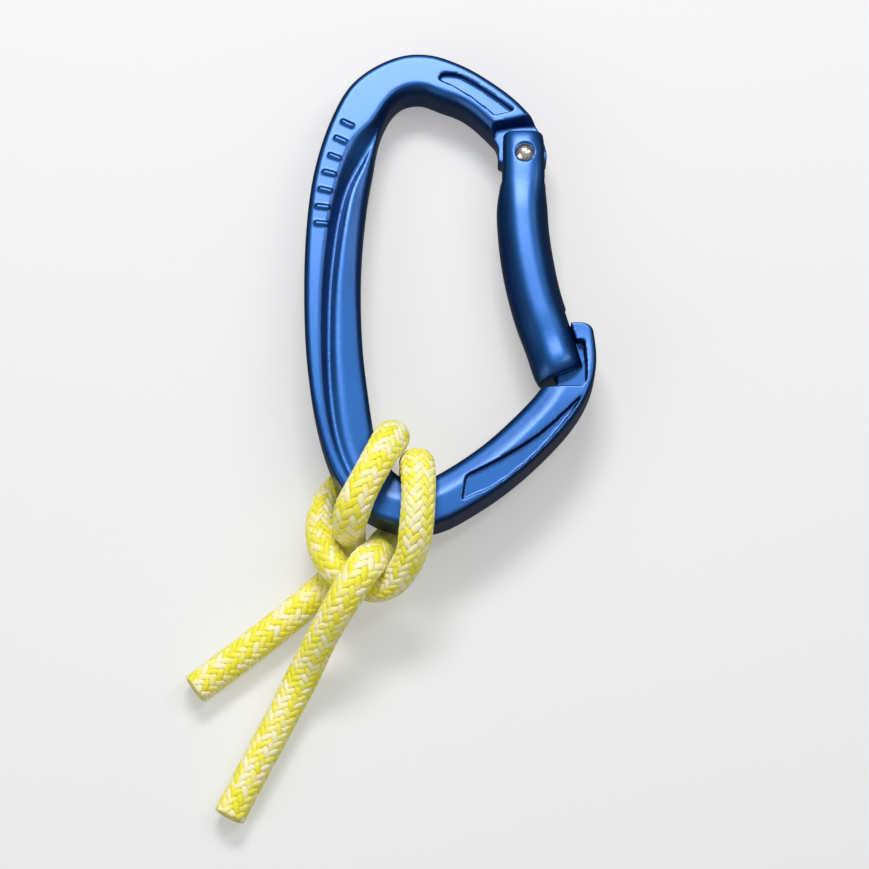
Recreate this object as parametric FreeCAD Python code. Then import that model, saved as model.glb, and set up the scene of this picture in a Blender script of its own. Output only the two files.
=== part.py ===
import FreeCAD, Part
import math
import os
from FreeCAD import Vector

# A bent-gate keylock carabiner with a length of accessory cord clove-hitched round the
# lower end of its spine, lying as it would on a table: the top bow touches the table and
# the wraps of the knot lift the other end.
# +X points from the spine to the gate, +Y to the top bow and +Z up from the table.
# The origin is on the table, under the middle of the carabiner.
# The metal parts are drawn flat (u to the gate, v to the top bow, w out of the front face)
# and every one of them is then laid on the table by the same placement.

# How the carabiner lies
LEAN_DEG = 4.55
MID_HEIGHT = 9.13
MID_SHIFT_X = 0.1
MID_SHIFT_Y = -1.7

# Hinge
HINGE_U = 14.95
HINGE_V = 29.8
GATE_OPEN_DEG = 30.0
TANG_HALF = 2.5
SLOT_HALF = 2.6
RIVET_RADIUS = 1.5
RIVET_BORE_RADIUS = 1.55
RIVET_HEAD_RADIUS = 1.95
RIVET_HEAD_RISE = 1.0
EAR_TOP = 4.8
EAR_CORNER = 1.7
EAR_INNER_U = 10.35
EAR_OUTER_U = 19.0
EAR_FACE = 4.35
SPOT_FACE_CLEAR = 0.15
RIVET_PRESS_GAP = 0.02
TANG_ROOT = [(9.5, 31.2), (12.0, 33.5), (17.5, 33.5)]
TANG_SPREAD_DEG = 100
TANG_STEP_DEG = 4
# Floor of the step for the ears, and where its sloping wall meets the face of the bar
EAR_STEP_FLOOR = [(9.5, 22.0), (26.0, 22.0), (26.0, 36.4), (19.0, 36.0), (13.6, 36.0),
                  (9.0, 35.0), (8.8, 32.6)]
EAR_STEP_RIM = [(9.3, 22.0), (27.0, 22.0), (27.0, 39.4), (19.4, 38.9), (13.2, 36.9),
                (8.1, 35.9), (7.7, 32.2)]
EAR_STEP_ROUNDS = [0.3, 0.3, 0.3, 3.0, 2.0, 1.0, 0.6]

# Closing spring and plunger in the gate
BORE_RADIUS = 1.75
BORE_TOP_V = 23.9
BORE_DEPTH = 15.0
PLUNGER_RADIUS = 1.68
PLUNGER_LENGTH = 5.2
PLUNGER_TRAVEL = 0.8
PLUNGER_TIP_GAP = 0.12
CAM_START = 4.0
CAM_LEAST = 3.7
CAM_MOST = 4.85
CAM_CLEAR = 0.15
SPRING_WIRE_RADIUS = 0.28
SPRING_COIL_RADIUS = 1.25
SPRING_TURNS = 8

# Nose
PLATE_HALF = 1.45
NOSE_SLOT_HALF = 1.6
NOSE_SLOT_GAP = 0.2
SHOULDER_V = -19.4
NOSE_PLATE_U = 20.8
NOSE_TOP_V = -6.1
NOSE_CORNER_U = 25.6
NOSE_CORNER_ROUND = 3.0
NOSE_SLOT_TOP_V = -4.2
# The milled side of the nose: inside its rim, whose end the closed gate nearly touches
PLATE_RECESS = [(14.0, SHOULDER_V), (25.7, SHOULDER_V), (26.7, -18.0), (26.7, -14.0),
                (26.3, -9.7), (24.7, -9.7), (23.0, -4.0), (14.0, -4.0)]
PLATE_RECESS_ROUND = 0.6
SEAT_FLAT = [(22.35, -2.6), (26.0, -1.2), (30.0, -14.0), (25.75, -14.0)]

# Half thicknesses of the forged bar where hollows are pressed into it
BAR_HALF = 5.2
FACE_HALF = 5.18
BASKET_HALF = 4.8

# Pressed hollows and the row of raised grip bars
POCKET_DEPTH = 1.3
BOW_POCKET = [(-1.7, 46.7), (1.5, 46.6), (5.0, 44.6), (8.7, 41.9), (12.9, 38.6), (8.9, 37.6),
              (4.3, 41.6), (0.6, 44.0), (-2.4, 45.4)]
BOW_POCKET_ROUNDS = [0.7, 2.0, 3.0, 3.0, 0.4, 0.4, 3.0, 3.0, 0.7]
BASKET_POCKET = [(2.1, -42.8), (2.9, -37.7), (9.4, -34.5), (17.4, -29.4), (26.2, -20.8),
                 (23.6, -25.0), (17.3, -32.7), (9.5, -39.4)]
BASKET_POCKET_ROUNDS = [0.6, 1.0, 4.0, 4.0, 0.3, 3.0, 4.0, 4.0]
GRIP_BARS = 7
GRIP_BAR_LENGTH = 2.6
GRIP_BAR_WIDTH = 0.75
GRIP_BAR_RISE = 0.3
GRIP_FIRST = (-20.6, 35.6)
GRIP_ROW_LENGTH = 21.5
GRIP_ROW_BOW = 4.9
GRIP_TURN_FIRST = -28.0
GRIP_TURN_MORE = 22.0

# How far the cutting shapes reach past the bar: out of its faces and round its outline
CUT_FACE = 8.0
CUT_ROUND = 60.0

# Rope
ROPE_RADIUS = 3.0
CORE_SPACE_RADIUS = 2.35
STRAND_RADIUS = 0.74
STRAND_RING = 1.55
OUTER_STRANDS = 6
ARC_SHARE = 0.45

# The rope's route in millimetres over the table, from the end of one tail to the other
ROPE_ROUTE = [
    # first tail, on the table
    (-49.7, -78.9, 3.3), (-39.7, -71.3, 3.3), (-30.7, -64.1, 3.3), (-23.3, -57.5, 3.3),
    # under the bight, up and over the front of the spine
    (-20.5, -53.9, 3.4), (-19.7, -49.5, 8.2), (-19.6, -48.6, 17.2), (-18.3, -45.2, 21.3),
    (-14.1, -37.1, 21.2), (-11.3, -30.9, 17.6), (-10.7, -29.1, 9.6),
    # behind the spine and out past its outer edge
    (-13.3, -30.7, 3.5), (-19.1, -35.9, 3.3), (-24.3, -40.9, 3.6),
    # the bight, over the first tail and under the second
    (-26.6, -46.9, 7.2), (-25.0, -53.9, 10.6), (-19.3, -59.2, 10.6), (-12.2, -60.5, 11.2),
    # over the front of the bottom bow
    (-7.5, -55.9, 17.2), (-6.3, -49.3, 21.7), (-6.0, -41.1, 21.4), (-6.5, -35.7, 17.2),
    (-6.7, -34.9, 9.8),
    # behind the bottom bow, where it carries the weight, and up between the bow and the bight
    (-6.6, -36.4, 3.9), (-2.0, -38.8, 3.1), (-2.2, -43.2, 3.1), (-6.8, -45.8, 3.2),
    (-12.8, -50.6, 4.5), (-14.1, -53.5, 12.2),
    # over the bight and down to the table
    (-16.2, -56.6, 17.7), (-20.3, -63.1, 17.2), (-24.5, -69.3, 11.2), (-28.7, -76.5, 4.4),
    # second tail, on the table
    (-33.5, -85.9, 3.3), (-38.3, -94.9, 3.3), (-42.7, -103.6, 3.3),
]


def uvw(u, v, w=0.0):
    return Vector(u, v, w)


def one_solid(shape):
    return shape.Solids[0] if len(shape.Solids) == 1 else shape


def lay_down(shape):
    # Turns the flat drawing so that its top bow leans down to the table.
    turned = one_solid(shape).copy()
    turned.rotate(Vector(0, 0, 0), Vector(1, 0, 0), -LEAN_DEG)
    turned.translate(Vector(MID_SHIFT_X, MID_SHIFT_Y, MID_HEIGHT))
    return turned


def rounded_ring(corners, radii):
    # A closed section: straight sides joined by rounded corners, always in the same order.
    count = len(corners)
    starts = []
    ends = []
    for i in range(count):
        here = corners[i]
        before = corners[i - 1] - here
        after = corners[(i + 1) % count] - here
        cut_before = min(radii[i], 0.42 * before.Length)
        cut_after = min(radii[i], 0.42 * after.Length)
        starts.append(here + before.normalize() * cut_before)
        ends.append(here + after.normalize() * cut_after)
    edges = []
    for i in range(count):
        bend = Part.BezierCurve()
        bend.setPoles([starts[i], corners[i], ends[i]])
        edges.append(bend.toShape())
        edges.append(Part.LineSegment(ends[i], starts[(i + 1) % count]).toShape())
    return Part.Wire(edges)


def slab(points, low, high):
    # A straight-sided block over a closed outline of flat points.
    wire = Part.makePolygon([uvw(u, v, low) for u, v in points + points[:1]])
    return Part.Face(wire).extrude(Vector(0, 0, high - low))


# Each row is one section of the forged bar, from the hinge round to the nose:
# outer point, inner point, half thickness at the outer edge, then as parts of the width
# the end of the flat flange, the bottom of the groove and the crest of the inner rib,
# with the half thickness at the groove, at the crest and at the inner edge.
BAR_SECTIONS = [
    ((18.7, 28.0), (9.7, 28.4), 4.6, 0.80, 0.89, 0.96, 4.3, 3.8, 2.8),
    ((19.4, 29.8), (9.6, 29.6), 5.0, 0.80, 0.89, 0.96, 4.7, 4.0, 2.8),
    ((18.9, 32.4), (9.6, 31.1), 5.1, 0.80, 0.89, 0.96, 4.7, 4.0, 2.8),
    ((16.9, 36.7), (8.5, 33.6), 5.2, 0.80, 0.89, 0.96, 4.7, 4.0, 2.8),
    ((13.3, 41.0), (6.7, 35.7), 5.2, 0.80, 0.89, 0.96, 4.7, 4.0, 2.8),
    ((9.1, 44.5), (4.1, 38.2), 5.2, 0.80, 0.89, 0.96, 4.7, 4.0, 2.8),
    ((4.5, 47.6), (1.0, 40.2), 5.2, 0.81, 0.89, 0.96, 4.7, 4.0, 2.8),
    ((0.2, 49.7), (-2.4, 41.5), 5.2, 0.82, 0.90, 0.96, 4.7, 4.0, 2.8),
    ((-4.2, 51.0), (-5.3, 42.7), 5.2, 0.82, 0.90, 0.96, 4.7, 4.0, 2.8),
    ((-8.6, 51.0), (-7.5, 42.8), 5.2, 0.82, 0.90, 0.96, 4.7, 4.0, 2.8),
    ((-13.0, 49.6), (-9.7, 42.0), 5.2, 0.83, 0.91, 0.96, 4.5, 3.8, 2.7),
    ((-17.0, 47.2), (-11.6, 40.1), 5.2, 0.84, 0.92, 0.96, 4.2, 3.5, 2.6),
    ((-20.3, 44.0), (-13.0, 37.6), 5.2, 0.84, 0.93, 0.96, 3.8, 3.3, 2.6),
    ((-22.8, 39.6), (-14.1, 34.7), 5.2, 0.78, 0.93, 0.96, 3.2, 3.1, 2.6),
    ((-24.8, 34.6), (-14.9, 31.2), 5.2, 0.58, 0.88, 0.93, 2.9, 3.2, 2.6),
    ((-26.3, 29.6), (-15.5, 27.1), 5.2, 0.48, 0.76, 0.87, 2.8, 3.5, 2.6),
    ((-27.5, 24.0), (-16.3, 22.3), 5.2, 0.44, 0.64, 0.76, 2.9, 3.9, 2.7),
    ((-28.3, 17.5), (-17.0, 16.7), 5.2, 0.40, 0.56, 0.70, 3.0, 4.2, 2.9),
    ((-28.8, 9.5), (-17.6, 9.3), 5.2, 0.36, 0.51, 0.66, 3.2, 4.3, 3.0),
    ((-28.9, 1.5), (-17.8, 1.5), 5.2, 0.32, 0.46, 0.61, 3.3, 4.3, 3.1),
    ((-28.7, -6.5), (-17.6, -6.0), 5.2, 0.29, 0.42, 0.57, 3.4, 4.3, 3.2),
    ((-28.2, -14.0), (-17.1, -13.0), 5.2, 0.26, 0.38, 0.54, 3.5, 4.4, 3.2),
    ((-27.2, -21.5), (-16.3, -19.6), 5.2, 0.22, 0.33, 0.51, 3.7, 4.5, 3.3),
    ((-25.6, -29.0), (-15.4, -26.0), 5.1, 0.19, 0.29, 0.48, 4.0, 4.6, 3.4),
    ((-23.3, -35.9), (-14.2, -31.4), 5.0, 0.18, 0.28, 0.46, 4.3, 4.7, 3.5),
    ((-19.6, -42.2), (-12.1, -35.3), 4.9, 0.18, 0.30, 0.46, 4.6, 4.8, 3.6),
    ((-14.2, -46.3), (-9.2, -37.8), 4.8, 0.20, 0.34, 0.50, 4.8, 4.8, 3.6),
    ((-8.2, -47.8), (-6.3, -38.4), 4.8, 0.24, 0.40, 0.56, 4.8, 4.8, 3.6),
    ((-2.3, -47.2), (-4.0, -37.8), 4.8, 0.24, 0.40, 0.56, 4.8, 4.8, 3.6),
    ((3.4, -44.4), (-1.2, -36.3), 4.8, 0.24, 0.40, 0.56, 4.8, 4.8, 3.6),
    ((9.1, -40.6), (3.2, -33.4), 4.8, 0.24, 0.40, 0.56, 4.8, 4.8, 3.6),
    ((14.6, -36.1), (7.9, -29.7), 4.8, 0.24, 0.40, 0.56, 4.8, 4.8, 3.6),
    ((19.6, -31.2), (12.5, -25.3), 4.8, 0.24, 0.40, 0.56, 4.8, 4.8, 3.6),
    ((24.0, -26.0), (16.2, -21.3), 4.8, 0.24, 0.40, 0.56, 4.8, 4.8, 3.6),
    ((27.1, -20.6), (18.4, -18.0), 4.7, 0.24, 0.40, 0.56, 4.7, 4.7, 3.8),
    ((28.6, -14.5), (19.3, -13.8), 4.3, 0.24, 0.40, 0.56, 4.3, 4.3, 3.8),
    ((28.3, -8.5), (19.4, -8.5), 3.9, 0.24, 0.40, 0.56, 3.9, 3.9, 3.6),
    ((27.6, -3.5), (19.4, -3.5), 3.7, 0.24, 0.40, 0.56, 3.7, 3.7, 3.5),
]
OUTER_ROUND = 1.5
FLANGE_ROUND = 0.8
GROOVE_ROUND = 0.7
CREST_ROUND = 1.2
INNER_ROUND = 1.6


def bar_section(row):
    outer, inner, edge, flange, groove, crest, groove_half, crest_half, inner_half = row
    start = uvw(*outer)
    across = uvw(*inner) - start
    front = [(0.0, edge), (flange, edge), (groove, groove_half), (crest, crest_half),
             (1.0, inner_half)]
    radii = [OUTER_ROUND, FLANGE_ROUND, GROOVE_ROUND, CREST_ROUND, INNER_ROUND]
    corners = [start + across * part + uvw(0, 0, half) for part, half in front]
    back = [start + across * part - uvw(0, 0, half) for part, half in reversed(front)]
    return rounded_ring(corners + back, radii + radii[::-1])


def forged_bar():
    # The dies coin both faces of the bar flat and parallel.
    bar = Part.makeLoft([bar_section(row) for row in BAR_SECTIONS], True, False)
    blank = slab([(-CUT_ROUND, -CUT_ROUND), (CUT_ROUND, -CUT_ROUND), (CUT_ROUND, CUT_ROUND),
                  (-CUT_ROUND, CUT_ROUND)], -FACE_HALF, FACE_HALF)
    return bar.common(blank)


def pin(radius, low, high, u=HINGE_U, v=HINGE_V):
    return Part.makeCylinder(radius, high - low, uvw(u, v, low))


def cam_reach(angle):
    # How far the tang reaches from the hinge, by the angle from straight down to the spine.
    # The plunger rides this edge, so it is pushed back evenly as the gate opens.
    rise = PLUNGER_TRAVEL / math.radians(GATE_OPEN_DEG)
    return min(max(CAM_START + rise * angle, CAM_LEAST), CAM_MOST)


def tang():
    points = []
    for step in range(-TANG_SPREAD_DEG, TANG_SPREAD_DEG + 1, TANG_STEP_DEG):
        angle = math.radians(step)
        reach = cam_reach(angle)
        points.append((HINGE_U - reach * math.sin(angle), HINGE_V - reach * math.cos(angle)))
    edges = Part.BSplineCurve()
    edges.interpolate([uvw(u, v, -TANG_HALF) for u, v in points])
    curve = edges.toShape()
    first, last = curve.Vertexes[0].Point, curve.Vertexes[-1].Point
    root = [uvw(u, v, -TANG_HALF) for u, v in TANG_ROOT]
    closing = Part.makePolygon([last] + root + [first])
    wire = Part.Wire([curve] + closing.Edges)
    return Part.Face(wire).extrude(Vector(0, 0, 2 * TANG_HALF))


def rounded_slab(points, radius, low, high):
    # A block over a flat outline whose upright corners are rounded.
    block = slab(points, low, high)
    upright = []
    for edge in block.Edges:
        along = edge.tangentAt(edge.FirstParameter)
        if abs(along.z) > 0.99:
            upright.append(edge)
    return block.makeFillet(radius, upright)


def ear_clearance():
    # Both faces of the bar slope down to the tang where the ears of the gate turn.
    sides = []
    for side in (1, -1):
        floor = rounded_ring([uvw(u, v, side * TANG_HALF) for u, v in EAR_STEP_FLOOR],
                             EAR_STEP_ROUNDS)
        rim = rounded_ring([uvw(u, v, side * BAR_HALF) for u, v in EAR_STEP_RIM],
                           EAR_STEP_ROUNDS)
        sides.append(Part.makeLoft([floor, rim], True, True))
    return sides


def nose_outline():
    # Everything outside the nose: over its rounded top and inside its slim plate.
    inner_u, outer_u, top_v = 14.0, 32.0, 3.0
    corner_v = NOSE_TOP_V - NOSE_CORNER_ROUND
    over = slab([(inner_u, top_v), (outer_u, top_v), (outer_u, NOSE_TOP_V),
                 (inner_u, NOSE_TOP_V)], -CUT_FACE, CUT_FACE)
    corner = slab([(NOSE_CORNER_U, top_v), (outer_u, top_v), (outer_u, corner_v),
                   (NOSE_CORNER_U, corner_v)], -CUT_FACE, CUT_FACE)
    corner = corner.cut(pin(NOSE_CORNER_ROUND, -CUT_FACE, CUT_FACE, NOSE_CORNER_U, corner_v))
    inside = slab([(inner_u, top_v), (NOSE_PLATE_U, top_v), (NOSE_PLATE_U, SHOULDER_V),
                   (inner_u, SHOULDER_V)], -CUT_FACE, CUT_FACE)
    return over.fuse([corner, inside])


def plate_recess():
    # Each side of the nose is milled down to the plate that enters the slot of the gate,
    # which leaves a rim along its outer edge and its top.
    front = rounded_slab(PLATE_RECESS, PLATE_RECESS_ROUND, PLATE_HALF, CUT_FACE)
    back = rounded_slab(PLATE_RECESS, PLATE_RECESS_ROUND, -CUT_FACE, -PLATE_HALF)
    return front.fuse(back)


def outline_face(points, rounds):
    return Part.Face(rounded_ring([uvw(u, v) for u, v in points], rounds))


def pressed(face, half):
    # The same hollow in both faces of the bar.
    floor = half - POCKET_DEPTH
    up = face.copy()
    up.translate(Vector(0, 0, floor))
    down = face.copy()
    down.translate(Vector(0, 0, -CUT_FACE))
    height = Vector(0, 0, CUT_FACE - floor)
    return up.extrude(height).fuse(down.extrude(height))


def grip_bars():
    # A plain row of slanted raised bars down the flange of the spine.
    bars = []
    for i in range(GRIP_BARS):
        share = i / (GRIP_BARS - 1)
        centre = uvw(GRIP_FIRST[0] - GRIP_ROW_BOW * math.sin(share * math.pi / 2),
                     GRIP_FIRST[1] - GRIP_ROW_LENGTH * share)
        bar = Part.makeBox(GRIP_BAR_LENGTH, GRIP_BAR_WIDTH, 2 * (BAR_HALF + GRIP_BAR_RISE))
        bar.translate(Vector(-GRIP_BAR_LENGTH / 2, -GRIP_BAR_WIDTH / 2,
                             -BAR_HALF - GRIP_BAR_RISE))
        bar.rotate(Vector(0, 0, 0), Vector(0, 0, 1), GRIP_TURN_FIRST + GRIP_TURN_MORE * share)
        bar.translate(centre)
        bars.append(bar)
    return bars


def frame():
    body = forged_bar().fuse(grip_bars())
    body = body.cut(ear_clearance())
    body = body.fuse(tang())
    body = body.cut(nose_outline())
    body = body.cut(plate_recess())
    # A long pocket follows the top bow towards the hinge, and a leaf-shaped one thins the
    # bottom bow and runs out to a point near the nose.
    body = body.cut(pressed(outline_face(BOW_POCKET, BOW_POCKET_ROUNDS), BAR_HALF))
    body = body.cut(pressed(outline_face(BASKET_POCKET, BASKET_POCKET_ROUNDS), BASKET_HALF))
    return body.cut(pin(RIVET_BORE_RADIUS, -CUT_FACE, CUT_FACE))


# Each row is one section of the gate, from the ears down to the tip:
# inner point, outer point, the half thickness of the section and the share of it up to
# which the flanks stand straight.
GATE_SECTIONS = [
    ((10.35, 35.2), (19.0, 35.2), 3.9, 0.70),
    ((10.35, 33.4), (19.0, 33.4), 4.5, 0.72),
    ((10.35, 31.0), (19.1, 31.0), 4.7, 0.74),
    ((10.3, 27.5), (19.1, 27.5), 4.8, 0.74),
    ((10.15, 24.6), (19.1, 24.6), 4.8, 0.72),
    ((9.75, 22.2), (19.2, 22.2), 4.85, 0.62),
    ((9.4, 19.8), (19.4, 20.0), 4.95, 0.50),
    ((9.35, 16.0), (19.6, 16.6), 5.0, 0.42),
    ((9.8, 10.0), (20.1, 11.2), 5.0, 0.42),
    ((10.6, 4.3), (20.9, 6.0), 5.0, 0.42),
    ((11.9, -1.8), (22.0, 0.7), 5.0, 0.42),
    ((13.5, -7.3), (23.5, -4.2), 5.0, 0.42),
    ((15.4, -12.9), (25.0, -9.2), 5.0, 0.42),
    ((16.9, -17.3), (26.2, -13.5), 4.9, 0.42),
    ((17.5, -18.2), (26.2, -14.6), 4.3, 0.42),
]
SIDE_ROUND = 2.6
# The front of one section, across the gate and up, before its corners are rounded
INNER_SHOULDER = (0.27, 0.97)
OUTER_SHOULDER = (0.74, 1.0)


def gate_section(row):
    inner, outer, half, straight = row
    start = uvw(*inner)
    across = uvw(*outer) - start
    front = [(0.0, straight), INNER_SHOULDER, OUTER_SHOULDER, (1.0, straight)]
    radii = [SIDE_ROUND] * len(front)
    corners = [start + across * part + uvw(0, 0, half * up) for part, up in front]
    back = [start + across * part - uvw(0, 0, half * up) for part, up in reversed(front)]
    return rounded_ring(corners + back, radii + radii)


def box_between(left, low, right, high):
    return slab([(left, low), (right, low), (right, high), (left, high)], -CUT_FACE, CUT_FACE)


def ear_top_trim():
    # What is cut away to leave the rounded top of the ears.
    top = HINGE_V + EAR_TOP
    waist = top - EAR_CORNER
    left = EAR_INNER_U + EAR_CORNER
    right = EAR_OUTER_U - EAR_CORNER
    around = box_between(EAR_INNER_U - EAR_CORNER, waist, EAR_OUTER_U + EAR_CORNER,
                         top + EAR_CORNER)
    rounds = [pin(EAR_CORNER, -CUT_FACE, CUT_FACE, left, waist),
              pin(EAR_CORNER, -CUT_FACE, CUT_FACE, right, waist)]
    return around.cut(box_between(left, waist, right, top).fuse(rounds))


def ear_gap():
    # The tang of the frame turns between the two ears.
    reach = EAR_OUTER_U - EAR_INNER_U
    left = HINGE_U - reach
    right = HINGE_U + reach
    top = HINGE_V + reach
    return slab([(left, BORE_TOP_V), (right, BORE_TOP_V), (right, top), (left, top)],
                -SLOT_HALF, SLOT_HALF)


def nose_slot():
    # The slot in the end of the gate that takes the plate of the nose.
    floor = NOSE_PLATE_U - NOSE_SLOT_GAP
    outer_u, low_v = 30.0, -25.0
    return slab([(floor, NOSE_SLOT_TOP_V), (floor, low_v), (outer_u, low_v),
                 (outer_u, NOSE_SLOT_TOP_V)], -NOSE_SLOT_HALF, NOSE_SLOT_HALF)


def spot_faces():
    radius = RIVET_HEAD_RADIUS + SPOT_FACE_CLEAR
    return [pin(radius, EAR_FACE, CUT_FACE), pin(radius, -CUT_FACE, -EAR_FACE)]


def seat_flat():
    # A shallow flat on the outer flank where the gate lies inside the nose.
    return slab(SEAT_FLAT, -CUT_FACE, CUT_FACE)


def gate():
    body = Part.makeLoft([gate_section(row) for row in GATE_SECTIONS], True, False)
    body = body.cut(ear_top_trim())
    body = body.cut(ear_gap())
    spring_bore = Part.makeCylinder(BORE_RADIUS, BORE_DEPTH + 1.0,
                                    uvw(HINGE_U, BORE_TOP_V - BORE_DEPTH), Vector(0, 1, 0))
    rivet_bore = pin(RIVET_RADIUS + RIVET_PRESS_GAP, -CUT_FACE, CUT_FACE)
    body = body.cut([spring_bore, rivet_bore, nose_slot(), seat_flat()])
    return body.cut(spot_faces())


def rivet_head(side):
    # A low dome of the height RIVET_HEAD_RISE over the face of the ear.
    dome_radius = (RIVET_HEAD_RADIUS ** 2 + RIVET_HEAD_RISE ** 2) / (2 * RIVET_HEAD_RISE)
    ball = Part.makeSphere(dome_radius,
                           uvw(HINGE_U, HINGE_V, side * (EAR_FACE + RIVET_HEAD_RISE - dome_radius)))
    low = EAR_FACE if side > 0 else -EAR_FACE - RIVET_HEAD_RISE
    return ball.common(pin(RIVET_HEAD_RADIUS, low, low + RIVET_HEAD_RISE))


def gate_rivet():
    shank = pin(RIVET_RADIUS, -EAR_FACE, EAR_FACE)
    return shank.fuse([rivet_head(1), rivet_head(-1)])


def gate_plunger():
    tip_v = HINGE_V - CAM_START - CAM_CLEAR
    ball_v = tip_v - PLUNGER_TIP_GAP - PLUNGER_RADIUS
    stem = Part.makeCylinder(PLUNGER_RADIUS, PLUNGER_LENGTH, uvw(HINGE_U, ball_v - PLUNGER_LENGTH),
                             Vector(0, 1, 0))
    return stem.fuse(Part.makeSphere(PLUNGER_RADIUS, uvw(HINGE_U, ball_v)))


def plunger_foot_v():
    return HINGE_V - CAM_START - CAM_CLEAR - PLUNGER_TIP_GAP - PLUNGER_RADIUS - PLUNGER_LENGTH


def gate_spring():
    foot = BORE_TOP_V - BORE_DEPTH + SPRING_WIRE_RADIUS + 0.1
    height = plunger_foot_v() - 0.1 - SPRING_WIRE_RADIUS - foot
    coil = Part.makeHelix(height / SPRING_TURNS, height, SPRING_COIL_RADIUS)
    profile = Part.Wire(Part.makeCircle(SPRING_WIRE_RADIUS, Vector(SPRING_COIL_RADIUS, 0, 0),
                                        Vector(0, 1, 0)))
    wire = Part.Wire(coil).makePipeShell([profile], True, True)
    wire.rotate(Vector(0, 0, 0), Vector(1, 0, 0), -90)
    wire.translate(uvw(HINGE_U, foot))
    return wire


class Bend:
    # One tangent arc where two straight runs of the rope meet.
    def __init__(self, before, here, after):
        back = before - here
        on = after - here
        self.turn = math.pi - back.getAngle(on)
        reach = ARC_SHARE * min(back.Length, on.Length)
        self.radius = reach / math.tan(self.turn / 2)
        back.normalize()
        on.normalize()
        self.start = here + back * reach
        self.end = here + on * reach
        self.axis = on.cross(back).normalize()
        self.centre = here + (back + on).normalize() * (self.radius / math.cos(self.turn / 2))

    def carry(self, point, share=1.0):
        turned = FreeCAD.Rotation(self.axis, math.degrees(self.turn * share))
        return self.centre + turned.multVec(point - self.centre)


def rope_bends():
    route = [Vector(*point) for point in ROPE_ROUTE]
    return [Bend(route[i - 1], route[i], route[i + 1]) for i in range(1, len(route) - 1)]


def rope_line(side=0.0, rise=0.0):
    # The line of the whole rope, or of a strand that keeps its own place beside that line.
    bends = rope_bends()
    first = Vector(*ROPE_ROUTE[0])
    last = Vector(*ROPE_ROUTE[-1])
    along = (bends[0].start - first).normalize()
    across = along.cross(Vector(0, 0, 1)).normalize()
    shift = across * side + across.cross(along) * rise
    here = first + shift
    edges = []
    for bend in bends:
        arc_start = bend.start + shift
        arc_end = bend.carry(arc_start)
        edges.append(Part.LineSegment(here, arc_start).toShape())
        edges.append(Part.Arc(arc_start, bend.carry(arc_start, 0.5), arc_end).toShape())
        shift = arc_end - bend.end
        here = arc_end
    edges.append(Part.LineSegment(here, last + shift).toShape())
    return Part.Wire(edges)


def tube(line, outer, inner=0.0):
    start = line.Edges[0].firstVertex().Point
    along = line.Edges[0].tangentAt(line.Edges[0].FirstParameter)
    solid = line.makePipe(Part.Face(Part.Wire(Part.makeCircle(outer, start, along))))
    if inner:
        solid = solid.cut(line.makePipe(Part.Face(Part.Wire(Part.makeCircle(inner, start, along)))))
    return solid


def rope_sheath():
    line = rope_line()
    print("rope length", round(line.Length, 1))
    print("bend radii", [round(bend.radius, 1) for bend in rope_bends()])
    solid = one_solid(tube(line, ROPE_RADIUS, CORE_SPACE_RADIUS))
    section = math.pi * (ROPE_RADIUS ** 2 - CORE_SPACE_RADIUS ** 2)
    print("sheath volume over section x length", round(solid.Volume / (section * line.Length), 4))
    return solid


def core_strand(number):
    if number == 0:
        return tube(rope_line(), STRAND_RADIUS)
    angle = 2 * math.pi * number / OUTER_STRANDS
    line = rope_line(STRAND_RING * math.cos(angle), STRAND_RING * math.sin(angle))
    return tube(line, STRAND_RADIUS)


def all_parts():
    parts = {
        "frame": lay_down(frame()),
        "gate": lay_down(gate()),
        "gate_rivet": lay_down(gate_rivet()),
        "gate_plunger": lay_down(gate_plunger()),
        "gate_spring": lay_down(gate_spring()),
        "rope_sheath": rope_sheath(),
    }
    for number in range(OUTER_STRANDS + 1):
        parts["rope_core_" + str(number + 1)] = core_strand(number)
    return parts


if __name__ == "__main__":
    os.makedirs("parts", exist_ok=True)
    for name, shape in all_parts().items():
        box = shape.BoundBox
        print(name, shape.ShapeType, shape.isValid(), len(shape.Solids), round(shape.Volume, 1),
              round(box.ZMin, 2), round(box.ZMax, 2))
        shape.exportStep("parts/" + name + ".step")
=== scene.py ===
import math
import random

import bmesh
import bpy
import numpy as np
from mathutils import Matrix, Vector


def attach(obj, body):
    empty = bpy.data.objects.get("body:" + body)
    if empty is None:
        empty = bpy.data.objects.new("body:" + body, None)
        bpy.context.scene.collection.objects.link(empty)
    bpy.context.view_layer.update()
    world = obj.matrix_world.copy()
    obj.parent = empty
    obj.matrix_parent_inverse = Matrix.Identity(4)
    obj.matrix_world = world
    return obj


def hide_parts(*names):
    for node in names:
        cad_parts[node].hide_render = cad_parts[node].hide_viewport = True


# A bent-gate keylock carabiner with an accessory cord clove-hitched round the lower end of
# its spine. The metal pieces come from the frame as they are; the cord's braid, its core and
# its sealed ends are made here.

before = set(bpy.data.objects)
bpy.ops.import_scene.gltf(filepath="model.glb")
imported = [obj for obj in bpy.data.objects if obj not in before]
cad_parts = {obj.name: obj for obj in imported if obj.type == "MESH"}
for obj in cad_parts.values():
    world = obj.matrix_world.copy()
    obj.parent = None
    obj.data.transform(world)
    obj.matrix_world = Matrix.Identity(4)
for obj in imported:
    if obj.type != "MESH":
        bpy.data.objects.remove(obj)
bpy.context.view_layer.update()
MM = 0.001

# ---------------------------------------------------------------- camera

AIM = Vector((-0.00304, -0.0292, 0.0090))
ELEVATION = math.radians(77.0)
DISTANCE = 0.600
LENS = 126.5
SENSOR = 36.0


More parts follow.
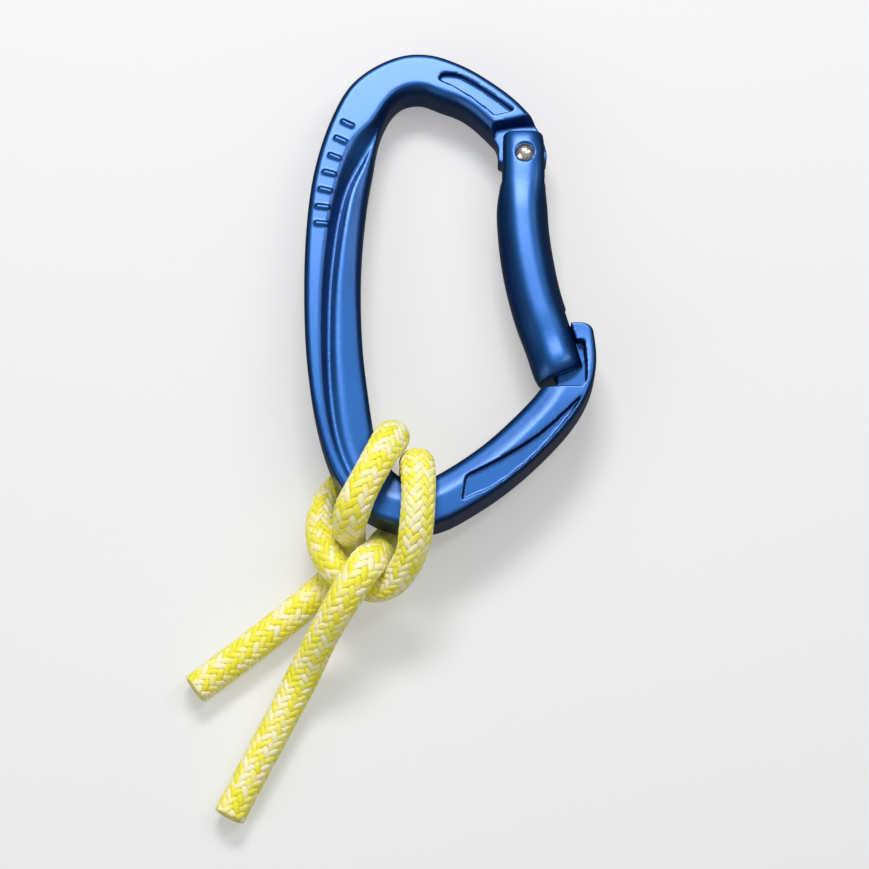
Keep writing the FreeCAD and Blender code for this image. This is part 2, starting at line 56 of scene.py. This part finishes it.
def make_camera():
    data = bpy.data.cameras.new("camera")
    data.sensor_width = SENSOR
    data.lens = LENS
    data.clip_start = 0.01
    data.clip_end = 5.0
    camera = bpy.data.objects.new("camera", data)
    bpy.context.scene.collection.objects.link(camera)
    back = Vector((0.0, -math.cos(ELEVATION), math.sin(ELEVATION)))
    camera.location = AIM + back * DISTANCE
    camera.rotation_euler = (math.pi / 2 - ELEVATION, 0.0, 0.0)
    bpy.context.scene.camera = camera


make_camera()

# ---------------------------------------------------------------- rope line

# The cord's route in metres, from the end of one tail to the other
ROPE_ROUTE = [
    # first tail, on the table
    (-0.0497, -0.0789, 0.0033), (-0.0397, -0.0713, 0.0033), (-0.0307, -0.0641, 0.0033),
    (-0.0233, -0.0575, 0.0033),
    # under the bight, up and over the front of the spine
    (-0.0205, -0.0539, 0.0034), (-0.0197, -0.0495, 0.0082), (-0.0196, -0.0486, 0.0172),
    (-0.0183, -0.0452, 0.0213), (-0.0141, -0.0371, 0.0212), (-0.0113, -0.0313, 0.0176),
    (-0.0107, -0.0296, 0.0096),
    # behind the spine and out past its outer edge
    (-0.0133, -0.0307, 0.0035), (-0.0188, -0.0359, 0.0033), (-0.0236, -0.0409, 0.0036),
    # the bight, over the first tail and under the second
    (-0.0258, -0.0469, 0.0072), (-0.0244, -0.0539, 0.0106), (-0.0191, -0.0592, 0.0106),
    (-0.0122, -0.0605, 0.0112),
    # over the front of the bottom bow
    (-0.0075, -0.0559, 0.0172), (-0.0063, -0.0493, 0.0217), (-0.0060, -0.0411, 0.0214),
    (-0.0065, -0.0362, 0.0174), (-0.0067, -0.0356, 0.0098),
    # behind the bottom bow and up between the bow and the bight
    (-0.0067, -0.0372, 0.0038), (-0.0046, -0.0405, 0.0037), (-0.0050, -0.0443, 0.0037),
    (-0.0084, -0.0474, 0.0036), (-0.0128, -0.0506, 0.0045), (-0.0141, -0.0535, 0.0122),
    # over the bight and down to the table
    (-0.0162, -0.0566, 0.0177), (-0.0203, -0.0631, 0.0172), (-0.0245, -0.0693, 0.0112),
    (-0.0287, -0.0765, 0.0044),
    # second tail, on the table
    (-0.0335, -0.0859, 0.0033), (-0.0383, -0.0949, 0.0033), (-0.0427, -0.1036, 0.0033),
]


CURVE_POINTS_PER_RUN = 24
# How far each side, in stations, the line and its bend are evened out
EVEN_LINE = 3
EVEN_BEND = 10
# A bend of 8 mm radius flattens the cord by about a tenth and widens it as much.
FLATTEN = 0.10 * 8.0 * MM


def route_points():
    # The cord's smooth line as points, read from its spline.
    data = bpy.data.curves.new("rope_line", "CURVE")
    data.dimensions = "3D"
    data.resolution_u = CURVE_POINTS_PER_RUN
    spline = data.splines.new("NURBS")
    spline.points.add(len(ROPE_ROUTE) - 1)
    for point, place in zip(spline.points, ROPE_ROUTE):
        point.co = (*place, 1.0)
    spline.order_u = 3
    spline.use_endpoint_u = True
    holder = bpy.data.objects.new("rope_line", data)
    bpy.context.scene.collection.objects.link(holder)
    bpy.context.view_layer.update()
    line = bpy.data.meshes.new_from_object(holder)
    points = np.array([v.co[:] for v in line.vertices])
    bpy.data.objects.remove(holder)
    return points


LINE = route_points()


def smoothed(values, reach):
    # A running average over reach stations each side, kept full length.
    kernel = np.hanning(2 * reach + 3)[1:-1]
    kernel /= kernel.sum()
    before = np.repeat(values[:1], reach, 0)
    after = np.repeat(values[-1:], reach, 0)
    padded = np.concatenate([before, values, after])
    columns = [np.convolve(column, kernel, "valid") for column in padded.T]
    return np.stack(columns, 1)


class RopeLine:
    # Even stations along the cord, each with its own pair of directions across the cord,
    # carried along without twist, and the way the section flattens where the cord is bent.
    STEP = 0.25 * MM

    def __init__(self, points):
        steps = np.linalg.norm(np.diff(points, axis=0), axis=1)
        along = np.concatenate([[0.0], np.cumsum(steps)])
        self.length = along[-1]
        count = int(round(self.length / self.STEP)) + 1
        self.at = np.linspace(0.0, self.length, count)
        self.point = np.stack([np.interp(self.at, along, points[:, i]) for i in range(3)], 1)
        self.point = smoothed(self.point, EVEN_LINE)
        tangent = np.gradient(self.point, axis=0)
        self.tangent = tangent / np.linalg.norm(tangent, axis=1)[:, None]
        self.side = np.zeros_like(self.point)
        side = np.cross(self.tangent[0], (0.0, 0.0, 1.0))
        for i, t in enumerate(self.tangent):
            side = side - t * side.dot(t)
            side = side / np.linalg.norm(side)
            self.side[i] = side
        self.up = np.cross(self.side, self.tangent)
        bend = np.gradient(self.tangent, self.at[1], axis=0)
        curve = np.linalg.norm(bend, axis=1)
        push = np.einsum("ni,nj->nij", bend, bend) / np.maximum(curve, 1.0)[:, None, None]
        self.push = smoothed(push.reshape(-1, 9), EVEN_BEND).reshape(-1, 3, 3)
        self.bent = smoothed(curve[:, None], EVEN_BEND)[:, 0]

    def place(self, at, angle, radius):
        # Points at distances along the cord, angles round it and radii from its middle.
        def pick(values):
            columns = values.reshape(len(values), -1).T
            return np.stack([np.interp(at, self.at, column) for column in columns], -1)

        side = pick(self.side)
        up = pick(self.up)
        out = side * np.cos(angle)[..., None] + up * np.sin(angle)[..., None]
        push = pick(self.push).reshape(*at.shape, 3, 3)
        bent = np.interp(at, self.at, self.bent)
        tangent = pick(self.tangent)
        inward = np.einsum("...ij,...j->...i", push, out)
        flat = FLATTEN * (2.0 * inward - out * bent[..., None])
        flat = flat - tangent * np.sum(flat * tangent, -1)[..., None]
        return pick(self.point) + (out - flat) * radius[..., None]


ROPE = RopeLine(LINE)

# ---------------------------------------------------------------- materials


def linear(hex_colour):
    values = [int(hex_colour[i:i + 2], 16) / 255 for i in (1, 3, 5)]
    return [v / 12.92 if v <= 0.04045 else ((v + 0.055) / 1.055) ** 2.4 for v in values] + [1.0]


def new_material(name):
    material = bpy.data.materials.new(name)
    material.use_nodes = True
    tree = material.node_tree
    tree.nodes.clear()
    return material, tree


def node(tree, kind, links=None, stops=(), **settings):
    # Adds a node. A setting is an attribute of the node, or else one of its sockets, and
    # stops are the places and colours of a colour ramp.
    made = tree.nodes.new(kind)
    for key, value in settings.items():
        if hasattr(made, key):
            setattr(made, key, value)
        else:
            made.inputs[key.replace("_", " ")].default_value = value
    for key, source in (links or {}).items():
        tree.links.new(source, made.inputs[key])
    if stops:
        elements = made.color_ramp.elements
        while len(elements) < len(stops):
            elements.new(0.5)
        for element, (place, colour) in zip(elements, stops):
            element.position = place
            element.color = colour
    return made


# Sizes of the patterns on the surfaces
BEAD_MARKS_PER_MM = 6.5
DYE_CLOUDS_PER_MM = 0.09
LATHE_LINES_PER_MM = 2.5
DRAWN_LINES_PER_MM = 1.5
CORE_FIBRES_PER_MM = 4.0
CRUST_GRAINS_PER_MM = 1.4


def anodised_aluminium():
    # Tumbled, bead-blasted and dyed in the anodising bath: the metal keeps its glint through
    # the clear blue film, and the blasted skin spreads each highlight into a soft sheen.
    material, tree = new_material("anodised_aluminium")
    place = node(tree, "ShaderNodeTexCoord")
    blast = node(tree, "ShaderNodeTexNoise", {"Vector": place.outputs["Object"]},
                 Scale=BEAD_MARKS_PER_MM / MM, Detail=2.0, Roughness=0.6)
    cloud = node(tree, "ShaderNodeTexNoise", {"Vector": place.outputs["Object"]},
                 Scale=DYE_CLOUDS_PER_MM / MM, Detail=3.0, Roughness=0.55)
    dye = node(tree, "ShaderNodeValToRGB", {"Fac": cloud.outputs["Fac"]},
                stops=[(0.30, linear("#044380")), (0.70, linear("#054b8c"))])
    rough = node(tree, "ShaderNodeMapRange", {"Value": cloud.outputs["Fac"]},
                 From_Min=0.3, From_Max=0.7, To_Min=0.40, To_Max=0.46)
    bump = node(tree, "ShaderNodeBump", {"Height": blast.outputs["Fac"]},
                Strength=0.10, Distance=0.00003)
    shader = node(tree, "ShaderNodeBsdfPrincipled",
                  {"Base Color": dye.outputs["Color"], "Roughness": rough.outputs["Result"],
                   "Normal": bump.outputs["Normal"]}, Metallic=1.0,
                  Coat_Weight=0.5, Coat_Roughness=0.28, Coat_IOR=1.6)
    node(tree, "ShaderNodeOutputMaterial", {"Surface": shader.outputs[0]})
    return material


def stainless(name, colour, low, high, lines_per_mm):
    # Stainless steel, turned and polished: a bright skin with fine lathe lines.
    material, tree = new_material(name)
    place = node(tree, "ShaderNodeTexCoord")
    lines = node(tree, "ShaderNodeTexNoise", {"Vector": place.outputs["Object"]},
                 Scale=lines_per_mm / MM, Detail=3.0)
    tone = node(tree, "ShaderNodeValToRGB", {"Fac": lines.outputs["Fac"]},
                stops=[(0.3, linear(colour)), (0.7, linear("#ece6df"))])
    rough = node(tree, "ShaderNodeMapRange", {"Value": lines.outputs["Fac"]},
                 From_Min=0.3, From_Max=0.7, To_Min=low, To_Max=high)
    bump = node(tree, "ShaderNodeBump", {"Height": lines.outputs["Fac"]},
                Strength=0.08, Distance=0.00002)
    shader = node(tree, "ShaderNodeBsdfPrincipled",
                  {"Base Color": tone.outputs["Color"], "Roughness": rough.outputs["Result"],
                   "Normal": bump.outputs["Normal"]}, Metallic=1.0)
    node(tree, "ShaderNodeOutputMaterial", {"Surface": shader.outputs[0]})
    return material


def braided_polyamide():
    # Bulked polyamide yarn, two dyed plies to a bobbin, braided: satin and fibrous, with the
    # plies showing by turns as lemon and cream stitches. Painted shade darkens each yarn where
    # it passes under the other way and along its flanks.
    material, tree = new_material("braided_polyamide")
    ply = node(tree, "ShaderNodeAttribute", attribute_name="ply")
    painted_shade = node(tree, "ShaderNodeAttribute", attribute_name="painted_shade")
    lay = node(tree, "ShaderNodeUVMap", uv_map="lay")
    stretched = node(tree, "ShaderNodeMapping", {"Vector": lay.outputs["UV"]})
    stretched.inputs["Scale"].default_value = (0.6, 9.0, 1.0)
    fibre = node(tree, "ShaderNodeTexNoise", {"Vector": stretched.outputs["Vector"]},
                 Scale=1.0, Detail=3.0, Roughness=0.6)
    plies = node(tree, "ShaderNodeMapping", {"Vector": lay.outputs["UV"]})
    plies.inputs["Scale"].default_value = (0.8, 2.2, 1.0)
    twist = node(tree, "ShaderNodeTexNoise", {"Vector": plies.outputs["Vector"]},
                 Scale=1.0, Detail=2.0, Roughness=0.5)
    mixed = node(tree, "ShaderNodeMath", {0: twist.outputs["Fac"], 2: ply.outputs["Fac"]},
                 operation="MULTIPLY_ADD")
    mixed.inputs[1].default_value = 1.2
    spread = node(tree, "ShaderNodeMapRange", {"Value": mixed.outputs["Value"]},
                  From_Min=0.35, From_Max=1.55, To_Min=0.0, To_Max=1.0)
    colour = node(tree, "ShaderNodeValToRGB", {"Fac": spread.outputs["Result"]},
                  stops=[(0.30, linear("#f3e9bc")), (0.50, linear("#f4ea98")),
                         (0.64, linear("#f1e760")), (0.86, linear("#ebe22c"))])
    # Painted shade: this ramp darkens the yarn colour where a yarn passes under and on its
    # flanks.
    shade = node(tree, "ShaderNodeValToRGB", {"Fac": painted_shade.outputs["Fac"]},
                stops=[(0.0, linear("#c9bd70")), (0.45, linear("#ffffff"))])
    # The painted shade is multiplied into the yarn colour here.
    colour_with_painted_shade = node(tree, "ShaderNodeMix", data_type="RGBA", blend_type="MULTIPLY")
    colour_with_painted_shade.inputs["Factor"].default_value = 1.0
    tree.links.new(colour.outputs["Color"], colour_with_painted_shade.inputs["A"])
    tree.links.new(shade.outputs["Color"], colour_with_painted_shade.inputs["B"])
    bump = node(tree, "ShaderNodeBump", {"Height": fibre.outputs["Fac"]},
                Strength=0.5, Distance=0.00006)
    shader = node(tree, "ShaderNodeBsdfPrincipled",
                  {"Base Color": colour_with_painted_shade.outputs["Result"], "Normal": bump.outputs["Normal"]},
                  Roughness=0.62, Sheen_Weight=0.25, Sheen_Roughness=0.45,
                  Subsurface_Weight=0.12, Subsurface_Scale=0.0006)
    node(tree, "ShaderNodeOutputMaterial", {"Surface": shader.outputs[0]})
    return material


def core_polyamide():
    # Twisted white polyamide filament, soft and matt.
    material, tree = new_material("core_polyamide")
    place = node(tree, "ShaderNodeTexCoord")
    fibre = node(tree, "ShaderNodeTexNoise", {"Vector": place.outputs["Object"]},
                 Scale=CORE_FIBRES_PER_MM / MM, Detail=2.0)
    tone = node(tree, "ShaderNodeValToRGB", {"Fac": fibre.outputs["Fac"]},
                stops=[(0.3, linear("#d8d2bc")), (0.7, linear("#f3efe2"))])
    bump = node(tree, "ShaderNodeBump", {"Height": fibre.outputs["Fac"]},
                Strength=0.4, Distance=0.00005)
    shader = node(tree, "ShaderNodeBsdfPrincipled",
                  {"Base Color": tone.outputs["Color"], "Normal": bump.outputs["Normal"]},
                  Roughness=0.8)
    node(tree, "ShaderNodeOutputMaterial", {"Surface": shader.outputs[0]})
    return material


def sealed_polyamide():
    # Yarn ends melted together by a hot knife: a dull, hard, slightly darker crust.
    material, tree = new_material("sealed_polyamide")
    place = node(tree, "ShaderNodeTexCoord")
    crust = node(tree, "ShaderNodeTexNoise", {"Vector": place.outputs["Object"]},
                 Scale=CRUST_GRAINS_PER_MM / MM, Detail=4.0)
    tone = node(tree, "ShaderNodeValToRGB", {"Fac": crust.outputs["Fac"]},
                stops=[(0.3, linear("#c9bf4a")), (0.7, linear("#e3dc86"))])
    bump = node(tree, "ShaderNodeBump", {"Height": crust.outputs["Fac"]},
                Strength=0.6, Distance=0.0002)
    shader = node(tree, "ShaderNodeBsdfPrincipled",
                  {"Base Color": tone.outputs["Color"], "Normal": bump.outputs["Normal"]},
                  Roughness=0.4)
    node(tree, "ShaderNodeOutputMaterial", {"Surface": shader.outputs[0]})
    return material


BLUE = anodised_aluminium()
RIVET = stainless("polished_stainless", "#cdbfb2", 0.16, 0.24, LATHE_LINES_PER_MM)
STEEL = stainless("turned_stainless", "#a9a9a9", 0.25, 0.35, DRAWN_LINES_PER_MM)
BRAID = braided_polyamide()
CORE = core_polyamide()
SEALED = sealed_polyamide()


def dress(name, material):
    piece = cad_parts[name]
    if not piece.material_slots:
        piece.data.materials.append(material)
    for place in piece.material_slots:
        place.material = material


# How finely the worn edges of the frame and of the gate are made, and how often evened out
FRAME_GRAIN = 0.20 * MM
GATE_GRAIN = 0.15 * MM
WORN_PASSES = 6


def tumble(name, grain):
    # Tumbling in stones takes the sharpness off every edge of the forged pieces.
    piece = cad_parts[name]
    skin = piece.modifiers.new("skin", "REMESH")
    skin.mode = "VOXEL"
    skin.voxel_size = grain
    skin.use_smooth_shade = True
    worn = piece.modifiers.new("worn", "SMOOTH")
    worn.factor = 0.5
    worn.iterations = WORN_PASSES


for name, material in (("frame", BLUE), ("gate", BLUE), ("gate_rivet", RIVET),
                       ("gate_plunger", STEEL), ("gate_spring", STEEL)):
    dress(name, material)
tumble("frame", FRAME_GRAIN)
tumble("gate", GATE_GRAIN)

# ---------------------------------------------------------------- rope

# The sheath is braided from 24 carriers, twelve each way; a stitch is how far along the cord
# a yarn runs between two crossings.
CARRIERS = 12
STITCH = 1.73 * MM
LAY = STITCH * CARRIERS
YARN_HALF_WIDTH = 0.70 * MM
YARN_HALF_THICK = 0.29 * MM
WEAVE = 0.13 * MM
YARN_MIDDLE = 2.75 * MM
YARN_SIDES = 6
YARN_STEP = 0.30 * MM
# How sharply a yarn changes from over to under, and how much it narrows underneath
CROSSING = 1.8
NARROWING = 0.14
# How light the flank of a yarn is painted against its crown: painted shade on each yarn's sides
PAINTED_FLANK_BRIGHTNESS = 0.45
SAME_TONE_CHANCE = 0.35

# The core: seven strands, six of which twist once round the middle one in 45 mm
STRAND_STEP = 0.8 * MM
STRAND_SIDES = 10
STRAND_RADIUS = 0.74 * MM
STRAND_RING = 1.50 * MM
STRAND_TWIST = 45 * MM

# The melted end: a low crust that overlaps the braid a little
END_RINGS = 7
END_SIDES = 28
END_RADIUS = 3.02 * MM
END_RISE = 0.75 * MM
END_OVERLAP = 0.35 * MM


def yarn_shade(rng, at):
    # How lemon the yarn is along its length: stitches change by turns, now and then a run
    # of several stays the same.
    count = int(at[-1] / STITCH) + 3
    tones = []
    tone = rng.random()
    for _ in range(count):
        tone = tone if rng.random() < SAME_TONE_CHANCE else rng.random()
        tones.append(tone)
    return np.interp(at / STITCH, np.arange(count), tones)


def add_mesh(name, points, faces, material, values=None):
    data = bpy.data.meshes.new(name)
    data.from_pydata(points.tolist(), [], faces)
    data.polygons.foreach_set("use_smooth", [True] * len(data.polygons))
    for key, numbers in (values or {}).items():
        data.attributes.new(key, "FLOAT", "POINT").data.foreach_set("value", numbers)
    data.materials.append(material)
    piece = bpy.data.objects.new(name, data)
    bpy.context.scene.collection.objects.link(piece)
    return piece


def tube_faces(rings, sides, start):
    faces = []
    for i in range(rings - 1):
        low = start + i * sides
        for k in range(sides):
            on = (k + 1) % sides
            faces.append((low + k, low + on, low + sides + on, low + sides + k))
    faces.append(tuple(start + k for k in reversed(range(sides))))
    last = start + (rings - 1) * sides
    faces.append(tuple(last + k for k in range(sides)))
    return faces


def braid_half(name, turn):
    # All the yarns that run one way round the cord. Each goes over two yarns of the other
    # way and under the next two.
    rng = random.Random(7 if turn > 0 else 11)
    count = int(ROPE.length / YARN_STEP) + 1
    at = np.linspace(0.0, ROPE.length, count)
    points, faces, ply, painted_shade, lay = [], [], [], [], []
    around = np.linspace(0.0, 2 * math.pi, YARN_SIDES, endpoint=False)
    slope = math.atan2(2 * math.pi * YARN_MIDDLE, LAY)
    for number in range(CARRIERS):
        angle = 2 * math.pi * (number / CARRIERS + turn * at / LAY)
        column = angle / (2 * math.pi) * 2 * CARRIERS
        wave = np.cos(2 * math.pi * (column - 0.5) / 4) * turn
        over = np.tanh(CROSSING * wave) / math.tanh(CROSSING)
        middle = YARN_MIDDLE + WEAVE * over
        narrow = 1.0 - NARROWING + NARROWING * over
        tone = yarn_shade(rng, at)
        for a in around:
            wide = math.cos(a) * YARN_HALF_WIDTH * narrow
            thick = math.sin(a) * YARN_HALF_THICK
            radius = middle + thick
            shifted = at - turn * wide * math.sin(slope)
            swung = angle + wide * math.cos(slope) / YARN_MIDDLE
            points.append(ROPE.place(np.clip(shifted, 0.0, ROPE.length), swung, radius))
        start = number * count * YARN_SIDES
        faces.extend(tube_faces(count, YARN_SIDES, start))
        ply.append(np.repeat(tone, YARN_SIDES))
        # Painted shade: the yarn is darkened where it passes under the yarns of the other way.
        crossing_shade = 0.5 + 0.5 * over
        # Painted shade: the flanks of the yarn are darker than its crown, as if turned from the
        # light.
        light = [PAINTED_FLANK_BRIGHTNESS + (1.0 - PAINTED_FLANK_BRIGHTNESS) * max(math.sin(a), 0.0) for a in around]
        painted_shade.append(np.outer(crossing_shade, light).ravel())
        lay.append(np.stack([np.repeat(at / MM + 37.0 * number, YARN_SIDES),
                             np.tile(around / (2 * math.pi), count)], 1))
    stacked = []
    for number in range(CARRIERS):
        sides = points[number * YARN_SIDES:(number + 1) * YARN_SIDES]
        stacked.append(np.stack(sides, 1).reshape(-1, 3))
    piece = add_mesh(name, np.concatenate(stacked), faces, BRAID,
                     {"ply": np.concatenate(ply), "painted_shade": np.concatenate(painted_shade)})
    lay = np.concatenate(lay)
    uv = piece.data.uv_layers.new(name="lay")
    corners = np.empty(len(piece.data.loops), dtype=np.int32)
    piece.data.loops.foreach_get("vertex_index", corners)
    uv.data.foreach_set("uv", lay[corners].ravel())
    return piece


def core_strand(name, number):
    # One strand of the core. The six outer ones twist gently round the middle one.
    count = int(ROPE.length / STRAND_STEP)
    at = np.linspace(0.0, ROPE.length, count)
    ring = 0.0 if number == 0 else STRAND_RING
    twist = 2 * math.pi * (number / 6 + at / STRAND_TWIST)
    rings = []
    for k in range(STRAND_SIDES):
        a = 2 * math.pi * k / STRAND_SIDES
        x = ring * np.cos(twist) + STRAND_RADIUS * math.cos(a)
        y = ring * np.sin(twist) + STRAND_RADIUS * math.sin(a)
        rings.append(ROPE.place(at, np.arctan2(y, x), np.hypot(x, y)))
    points = np.stack(rings, 1).reshape(-1, 3)
    return add_mesh(name, points, tube_faces(count, STRAND_SIDES, 0), CORE)


def sealed_end(name, at, way):
    # The melted crust that closes a cut end.
    rng = random.Random(5)
    tangent = ROPE.tangent[0] if at == 0.0 else ROPE.tangent[-1]
    points = []
    for i in range(END_RINGS):
        quarter = i / (END_RINGS - 1) * math.pi / 2
        last = i == END_RINGS - 1
        radius = 0.0 if last else END_RADIUS * math.cos(quarter) ** 0.55
        push = END_RISE * math.sin(quarter) - END_OVERLAP
        for k in range(END_SIDES):
            a = 2 * math.pi * k / END_SIDES
            wobble = 1.0 + 0.025 * math.sin(3 * a + 1.3) + 0.02 * (rng.random() - 0.5)
            here = ROPE.place(np.array([at]), np.array([a]), np.array([radius * wobble]))[0]
            points.append(here + tangent * way * push)
    piece = add_mesh(name, np.array(points), tube_faces(END_RINGS, END_SIDES, 0), SEALED)
    work = bmesh.new()
    work.from_mesh(piece.data)
    bmesh.ops.remove_doubles(work, verts=work.verts, dist=1e-6)
    bmesh.ops.recalc_face_normals(work, faces=work.faces)
    work.to_mesh(piece.data)
    work.free()
    return piece


def make_rope():
    first = braid_half("rope_braid_right", 1)
    second = braid_half("rope_braid_left", -1)
    ends = [sealed_end("rope_end_first", 0.0, -1.0),
            sealed_end("rope_end_second", ROPE.length, 1.0)]
    strands = [core_strand("rope_strand_" + str(i + 1), i) for i in range(7)]
    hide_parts("rope_sheath")
    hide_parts("rope_sheath")
    for i, strand in enumerate(strands):
        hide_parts("rope_core_" + str(i + 1))
    for piece in [first, second] + ends + strands:
        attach(piece, "body")


make_rope()

# ---------------------------------------------------------------- stage


# The floor is a pale light table, so shadows stay faint.
FLOOR_GLOW = 0.30
FLOOR_REACH = 3.0
# Brightness of the studio round the object by height, from the horizon to straight above
SKY = ((0.0, 0.10), (0.35, 0.20), (0.70, 0.34), (0.90, 0.46), (1.0, 0.52))


def make_floor():
    material, tree = new_material("pale_floor")
    place = node(tree, "ShaderNodeTexCoord")
    grain = node(tree, "ShaderNodeTexNoise", {"Vector": place.outputs["Object"]}, Scale=3.0)
    tone = node(tree, "ShaderNodeValToRGB", {"Fac": grain.outputs["Fac"]},
                stops=[(0.4, linear("#bababa")), (0.6, linear("#bcbcbc"))])
    shader = node(tree, "ShaderNodeBsdfPrincipled", {"Base Color": tone.outputs["Color"]},
                  Roughness=0.9, Specular_IOR_Level=0.0,
                  Emission_Color=(1.0, 1.0, 1.0, 1.0), Emission_Strength=FLOOR_GLOW)
    node(tree, "ShaderNodeOutputMaterial", {"Surface": shader.outputs[0]})
    data = bpy.data.meshes.new("floor")
    reach = FLOOR_REACH
    corners = [(-reach, -reach, 0), (reach, -reach, 0), (reach, reach, 0), (-reach, reach, 0)]
    data.from_pydata(corners, [], [(0, 1, 2, 3)])
    data.materials.append(material)
    floor = bpy.data.objects.new("floor", data)
    bpy.context.scene.collection.objects.link(floor)
    floor.visible_glossy = False


def soft_light(name, place, aim, width, height, power):
    data = bpy.data.lights.new(name, "AREA")
    data.shape = "RECTANGLE"
    data.size = width
    data.size_y = height
    data.energy = power
    light = bpy.data.objects.new(name, data)
    bpy.context.scene.collection.objects.link(light)
    light.location = place
    light.rotation_euler = (Vector(aim) - Vector(place)).to_track_quat("-Z", "Y").to_euler()


def make_light():
    world = bpy.data.worlds.new("studio")
    bpy.context.scene.world = world
    world.use_nodes = True
    tree = world.node_tree
    tree.nodes.clear()
    place = node(tree, "ShaderNodeTexCoord")
    split = node(tree, "ShaderNodeSeparateXYZ", {"Vector": place.outputs["Generated"]})
    sky = node(tree, "ShaderNodeValToRGB", {"Fac": split.outputs["Z"]},
               stops=[(height, (grey * 0.98, grey, grey * 1.03, 1.0)) for height, grey in SKY])
    back = node(tree, "ShaderNodeBackground", {"Color": sky.outputs["Color"]}, Strength=1.0)
    node(tree, "ShaderNodeOutputWorld", {"Surface": back.outputs[0]})
    # a soft box behind the top bow, a strip over the gate's right side and a weak fill
    soft_light("top_box", (-0.04, 0.36, 0.50), (-0.01, 0.03, 0), 0.26, 0.13, 2.7)
    soft_light("right_strip", (0.30, 0.15, 0.55), (0.02, 0.0, 0), 0.09, 0.45, 1.0)
    soft_light("left_fill", (-0.45, -0.25, 0.30), (0.0, 0.0, 0), 0.40, 0.40, 0.8)
    bpy.context.scene.view_settings.view_transform = "Standard"


make_floor()
make_light()
